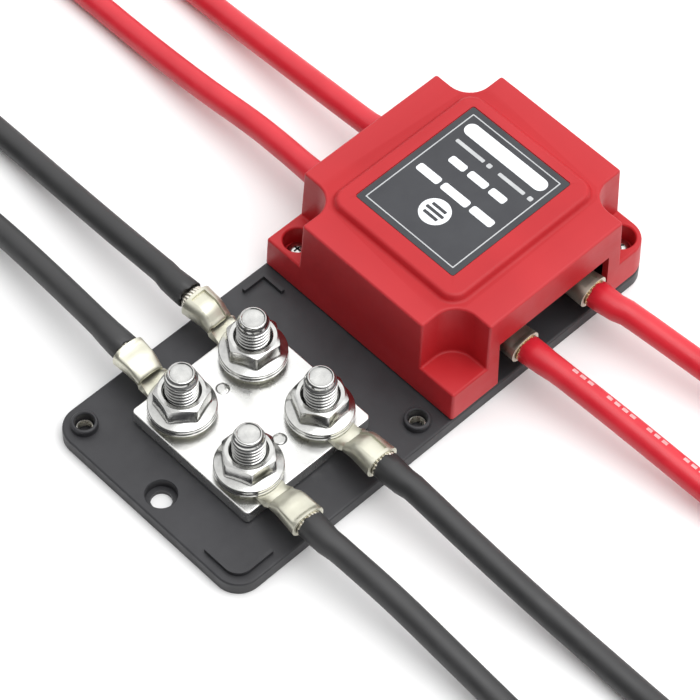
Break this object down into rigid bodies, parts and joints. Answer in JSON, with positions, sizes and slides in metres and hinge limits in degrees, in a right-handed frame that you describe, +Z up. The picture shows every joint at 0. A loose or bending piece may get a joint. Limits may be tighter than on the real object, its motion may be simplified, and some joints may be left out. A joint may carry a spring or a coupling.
{
  "type": "dual bus bar power distribution box",
  "caption": "Two square bus bars with M10 studs on one black plate, ring-lug leads bolted to the studs, and a red cover over the positive half.",
  "frame": {"origin": "middle of the plate's underside", "axes": "+X along the plate towards the covered half, +Y towards the back leads, +Z up"},
  "size_m": [0.172, 0.6564, 0.0394],
  "materials": {
    "black_plastic": "moulded charcoal plastic, satin",
    "red_plastic": "moulded red plastic, soft gloss",
    "bar_plating": "bright tin or nickel plating on a solid bar",
    "steel": "bright machined steel",
    "tin": "tinned copper",
    "insert_metal": "plated threaded insert",
    "label_print": "grey printed film",
    "black_jacket": "black flexible jacket, satin",
    "red_jacket": "red flexible jacket, satin"
  },
  "bodies": {
    "root": {"base_plate": "black_plastic", "negative_bus_bar": "bar_plating", "positive_bus_bar": "bar_plating", "negative_stud_1": "steel", "negative_stud_2": "steel", "negative_stud_3": "steel", "negative_stud_4": "steel", "positive_stud_1": "steel", "positive_stud_2": "steel", "positive_stud_3": "steel", "positive_stud_4": "steel", "negative_lug_1": "tin", "negative_lug_2": "tin", "negative_lug_3": "tin", "negative_lug_4": "tin", "positive_lug_1": "tin", "positive_lug_2": "tin", "positive_lug_3": "tin", "positive_lug_4": "tin", "negative_cable_1": "black_jacket", "negative_cable_2": "black_jacket", "negative_cable_3": "black_jacket", "negative_cable_4": "black_jacket", "positive_cable_1": "red_jacket", "positive_cable_2": "red_jacket", "positive_cable_3": "red_jacket", "positive_cable_4": "red_jacket", "negative_far_lug_1": "tin", "negative_far_lug_2": "tin", "negative_far_lug_3": "tin", "negative_far_lug_4": "tin", "positive_far_lug_1": "tin", "positive_far_lug_2": "tin", "positive_far_lug_3": "tin", "positive_far_lug_4": "tin", "threaded_insert_1": "insert_metal", "threaded_insert_2": "insert_metal", "threaded_insert_3": "insert_metal", "threaded_insert_4": "insert_metal"},
    "negative_washer_1": {"negative_washer_1": "steel"},
    "negative_nut_1": {"negative_nut_1": "steel"},
    "negative_washer_2": {"negative_washer_2": "steel"},
    "negative_nut_2": {"negative_nut_2": "steel"},
    "negative_washer_3": {"negative_washer_3": "steel"},
    "negative_nut_3": {"negative_nut_3": "steel"},
    "negative_washer_4": {"negative_washer_4": "steel"},
    "negative_nut_4": {"negative_nut_4": "steel"},
    "positive_washer_1": {"positive_washer_1": "steel"},
    "positive_nut_1": {"positive_nut_1": "steel"},
    "positive_washer_2": {"positive_washer_2": "steel"},
    "positive_nut_2": {"positive_nut_2": "steel"},
    "positive_washer_3": {"positive_washer_3": "steel"},
    "positive_nut_3": {"positive_nut_3": "steel"},
    "positive_washer_4": {"positive_washer_4": "steel"},
    "positive_nut_4": {"positive_nut_4": "steel"},
    "cover": {"positive_cover": "red_plastic", "cover_label": "label_print"},
    "cover_screw_1": {"cover_screw_1": "steel"},
    "cover_screw_2": {"cover_screw_2": "steel"}
  },
  "joints": [
    {"name": "negative_washer_1_lift", "type": "slide", "parent": "root", "child": "negative_washer_1", "axis": [0, 0, 1], "range_m": [0, 0.0085]},
    {"name": "negative_nut_1_turn", "type": "hinge", "parent": "negative_washer_1", "child": "negative_nut_1", "pos_m": [-0.0572, 0.0142, 0.01365], "axis": [0, 0, 1], "range_deg": [0, 2016]},
    {"name": "negative_washer_2_lift", "type": "slide", "parent": "root", "child": "negative_washer_2", "axis": [0, 0, 1], "range_m": [0, 0.0085]},
    {"name": "negative_nut_2_turn", "type": "hinge", "parent": "negative_washer_2", "child": "negative_nut_2", "pos_m": [-0.0288, 0.0142, 0.01365], "axis": [0, 0, 1], "range_deg": [0, 2016]},
    {"name": "negative_washer_3_lift", "type": "slide", "parent": "root", "child": "negative_washer_3", "axis": [0, 0, 1], "range_m": [0, 0.0085]},
    {"name": "negative_nut_3_turn", "type": "hinge", "parent": "negative_washer_3", "child": "negative_nut_3", "pos_m": [-0.0572, -0.0142, 0.01365], "axis": [0, 0, 1], "range_deg": [0, 2016]},
    {"name": "negative_washer_4_lift", "type": "slide", "parent": "root", "child": "negative_washer_4", "axis": [0, 0, 1], "range_m": [0, 0.0085]},
    {"name": "negative_nut_4_turn", "type": "hinge", "parent": "negative_washer_4", "child": "negative_nut_4", "pos_m": [-0.0288, -0.0142, 0.01365], "axis": [0, 0, 1], "range_deg": [0, 2016]},
    {"name": "positive_washer_1_lift", "type": "slide", "parent": "root", "child": "positive_washer_1", "axis": [0, 0, 1], "range_m": [0, 0.0085]},
    {"name": "positive_nut_1_turn", "type": "hinge", "parent": "positive_washer_1", "child": "positive_nut_1", "pos_m": [0.0288, 0.0142, 0.01365], "axis": [0, 0, 1], "range_deg": [0, 2016]},
    {"name": "positive_washer_2_lift", "type": "slide", "parent": "root", "child": "positive_washer_2", "axis": [0, 0, 1], "range_m": [0, 0.0085]},
    {"name": "positive_nut_2_turn", "type": "hinge", "parent": "positive_washer_2", "child": "positive_nut_2", "pos_m": [0.0572, 0.0142, 0.01365], "axis": [0, 0, 1], "range_deg": [0, 2016]},
    {"name": "positive_washer_3_lift", "type": "slide", "parent": "root", "child": "positive_washer_3", "axis": [0, 0, 1], "range_m": [0, 0.0085]},
    {"name": "positive_nut_3_turn", "type": "hinge", "parent": "positive_washer_3", "child": "positive_nut_3", "pos_m": [0.0288, -0.0142, 0.01365], "axis": [0, 0, 1], "range_deg": [0, 2016]},
    {"name": "positive_washer_4_lift", "type": "slide", "parent": "root", "child": "positive_washer_4", "axis": [0, 0, 1], "range_m": [0, 0.0085]},
    {"name": "positive_nut_4_turn", "type": "hinge", "parent": "positive_washer_4", "child": "positive_nut_4", "pos_m": [0.0572, -0.0142, 0.01365], "axis": [0, 0, 1], "range_deg": [0, 2016]},
    {"name": "cover_lift", "type": "slide", "parent": "root", "child": "cover", "axis": [0, 0, 1], "range_m": [0, 0.045]},
    {"name": "cover_screw_1_turn", "type": "hinge", "parent": "cover", "child": "cover_screw_1", "pos_m": [0.07895, -0.03295, 0.0105], "axis": [0, 0, 1], "range_deg": [0, 1840]},
    {"name": "cover_screw_2_turn", "type": "hinge", "parent": "cover", "child": "cover_screw_2", "pos_m": [0.00705, 0.03295, 0.0105], "axis": [0, 0, 1], "range_deg": [0, 1840]}
  ],
  "couplings": [
    {"joint": "negative_washer_1_lift", "follows": "negative_nut_1_turn", "m_per_rad": 0.00023873},
    {"joint": "negative_washer_2_lift", "follows": "negative_nut_2_turn", "m_per_rad": 0.00023873},
    {"joint": "negative_washer_3_lift", "follows": "negative_nut_3_turn", "m_per_rad": 0.00023873},
    {"joint": "negative_washer_4_lift", "follows": "negative_nut_4_turn", "m_per_rad": 0.00023873},
    {"joint": "positive_washer_1_lift", "follows": "positive_nut_1_turn", "m_per_rad": 0.00023873},
    {"joint": "positive_washer_2_lift", "follows": "positive_nut_2_turn", "m_per_rad": 0.00023873},
    {"joint": "positive_washer_3_lift", "follows": "positive_nut_3_turn", "m_per_rad": 0.00023873},
    {"joint": "positive_washer_4_lift", "follows": "positive_nut_4_turn", "m_per_rad": 0.00023873}
  ]
}
